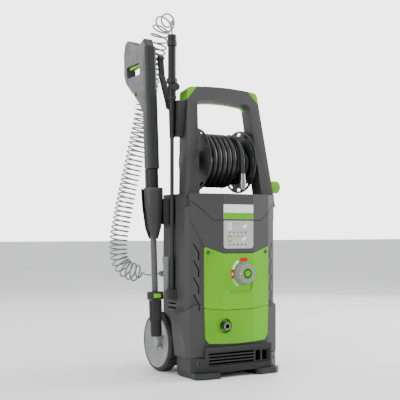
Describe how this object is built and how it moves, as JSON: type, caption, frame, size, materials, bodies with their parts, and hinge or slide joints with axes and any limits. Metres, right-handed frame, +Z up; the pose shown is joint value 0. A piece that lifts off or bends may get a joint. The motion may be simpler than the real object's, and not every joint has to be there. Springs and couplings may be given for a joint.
{
  "type": "pressure washer",
  "caption": "Upright electric pressure washer on wheels with a hose reel in its handle, a trigger gun and lance in a side holster, and a detergent wand on a curly hose.",
  "frame": {"origin": "on the floor in the machine's middle plane, on the underside of the base's cross rib", "axes": "+Z up, -Y to the front where the dial is, +X to the crank's side"},
  "size_m": [0.5011, 0.3862, 1.0911],
  "materials": {
    "dark_plastic": "fine moulded grain",
    "black_plastic": "fine moulded grain",
    "green_plastic": "satin",
    "holster_plastic": "fine moulded grain",
    "gun_grey": "satin moulded plastic",
    "label_print": "printed film",
    "dial_grey": "satin",
    "steel": "turned",
    "lance_steel": "dark coated",
    "chrome": "polished",
    "brass": "machined",
    "bush_nylon": "natural nylon",
    "hub_plastic": "satin",
    "tyre_rubber": "matte rubber",
    "hose_rubber": "smooth extruded rubber",
    "curly_plastic": "translucent grey polyurethane",
    "cup_plastic": "translucent moulded",
    "cast_metal": "sand cast"
  },
  "bodies": {
    "machine": {"main_casing": "dark_plastic", "rear_casing": "dark_plastic", "handle_frame": "dark_plastic", "front_panel": "dark_plastic", "base_frame": "black_plastic", "base_grille": "black_plastic", "holster_bracket": "black_plastic", "wand_clips": "black_plastic", "wand_tube": "black_plastic", "cable_gland": "black_plastic", "wand_body": "black_plastic", "switch_box": "black_plastic", "handle_grip": "green_plastic", "upper_cover": "green_plastic", "lower_cover": "green_plastic", "holster_cup": "holster_plastic", "front_labels": "label_print", "screws": "steel", "axle": "steel", "pump_pistons": "steel", "pressure_pipe": "steel", "outlet_fitting": "chrome", "inlet_fitting": "brass", "reel_bushes": "bush_nylon", "curly_hose": "curly_plastic", "curly_lead_lower": "curly_plastic", "curly_lead_upper": "curly_plastic", "detergent_cup": "cup_plastic", "pump_body": "cast_metal", "pump_head": "cast_metal", "motor_housing": "cast_metal"},
    "wheel_left": {"tyre_left": "tyre_rubber", "hub_left": "hub_plastic"},
    "wheel_right": {"tyre_right": "tyre_rubber", "hub_right": "hub_plastic"},
    "reel": {"reel_spool": "black_plastic", "reel_flange": "black_plastic", "reel_shaft": "steel", "reel_hose": "hose_rubber", "reel_hose_tail": "hose_rubber", "hose_connector": "chrome", "crank_arm": "black_plastic"},
    "crank_grip": {"crank_knob": "green_plastic"},
    "pressure_dial": {"dial": "dial_grey"},
    "gun": {"gun_shell_left": "gun_grey", "gun_shell_right": "gun_grey", "gun_front_cover": "black_plastic", "gun_valve": "brass", "lance_collar": "black_plastic", "lance_tube": "lance_steel", "nozzle_collar": "black_plastic"},
    "gun_trigger": {"trigger": "green_plastic"},
    "trigger_bolt": {"trigger_lock": "green_plastic"},
    "nozzle": {"nozzle_body": "black_plastic"},
    "release_button": {"nozzle_button": "green_plastic"},
    "squeeze_lever": {"wand_lever": "black_plastic"},
    "flow_knob": {"wand_knob": "dial_grey"},
    "turning_hook": {"cord_hook": "black_plastic"},
    "rotor": {"motor_rotor": "steel", "cooling_fan": "black_plastic"}
  },
  "joints": [
    {"name": "wheel_left_spin", "type": "hinge", "parent": "machine", "child": "wheel_left", "pos_m": [-0.148, 0.045, 0.09], "axis": [1, 0, 0], "continuous": true},
    {"name": "wheel_right_spin", "type": "hinge", "parent": "machine", "child": "wheel_right", "pos_m": [0.148, 0.045, 0.09], "axis": [1, 0, 0], "continuous": true},
    {"name": "reel_spin", "type": "hinge", "parent": "machine", "child": "reel", "pos_m": [0, -0.03, 0.644], "axis": [1, 0, 0], "continuous": true},
    {"name": "crank_grip_spin", "type": "hinge", "parent": "reel", "child": "crank_grip", "pos_m": [0.2, -0.03, 0.569], "axis": [1, 0, 0], "continuous": true},
    {"name": "dial_turn", "type": "hinge", "parent": "machine", "child": "pressure_dial", "pos_m": [0.021, -0.165, 0.303], "axis": [0, 1, 0], "range_deg": [-60, 90]},
    {"name": "gun_lift", "type": "slide", "parent": "machine", "child": "gun", "axis": [0, 0.0645, 0.9979], "range_m": [0, 0.15]},
    {"name": "trigger_pull", "type": "hinge", "parent": "gun", "child": "gun_trigger", "pos_m": [-0.21, 0.12585, 0.9529], "axis": [-1, 0, 0], "range_deg": [0, 11], "stiffness_Nm_per_rad": 0.6, "springref_deg": -17.19},
    {"name": "trigger_bolt_push", "type": "slide", "parent": "gun", "child": "trigger_bolt", "axis": [1, 0, 0], "range_m": [0, 0.005]},
    {"name": "nozzle_turn", "type": "hinge", "parent": "gun", "child": "nozzle", "pos_m": [-0.21, -0.03471, 0.17464], "axis": [0, 0.0645, 0.9979], "range_deg": [0, 180]},
    {"name": "nozzle_release", "type": "slide", "parent": "gun", "child": "release_button", "axis": [0.1564, 0.9856, -0.0637], "range_m": [0, 0.0025], "stiffness_N_per_m": 600, "springref_m": -0.004},
    {"name": "lever_squeeze", "type": "hinge", "parent": "machine", "child": "squeeze_lever", "pos_m": [-0.165, -0.035, 0.8], "axis": [1, 0, 0], "range_deg": [0, 14], "stiffness_Nm_per_rad": 0.8, "springref_deg": -17.19},
    {"name": "flow_knob_turn", "type": "hinge", "parent": "machine", "child": "flow_knob", "pos_m": [-0.165, -0.074, 0.852], "axis": [0, 1, 0], "range_deg": [0, 180]},
    {"name": "cord_hook_turn", "type": "hinge", "parent": "machine", "child": "turning_hook", "pos_m": [0, 0.12, 0.452], "axis": [0, 1, 0], "range_deg": [0, 180]},
    {"name": "rotor_spin", "type": "hinge", "parent": "machine", "child": "rotor", "pos_m": [0, -0.014, 0.3], "axis": [0, 0, 1], "continuous": true}
  ]
}
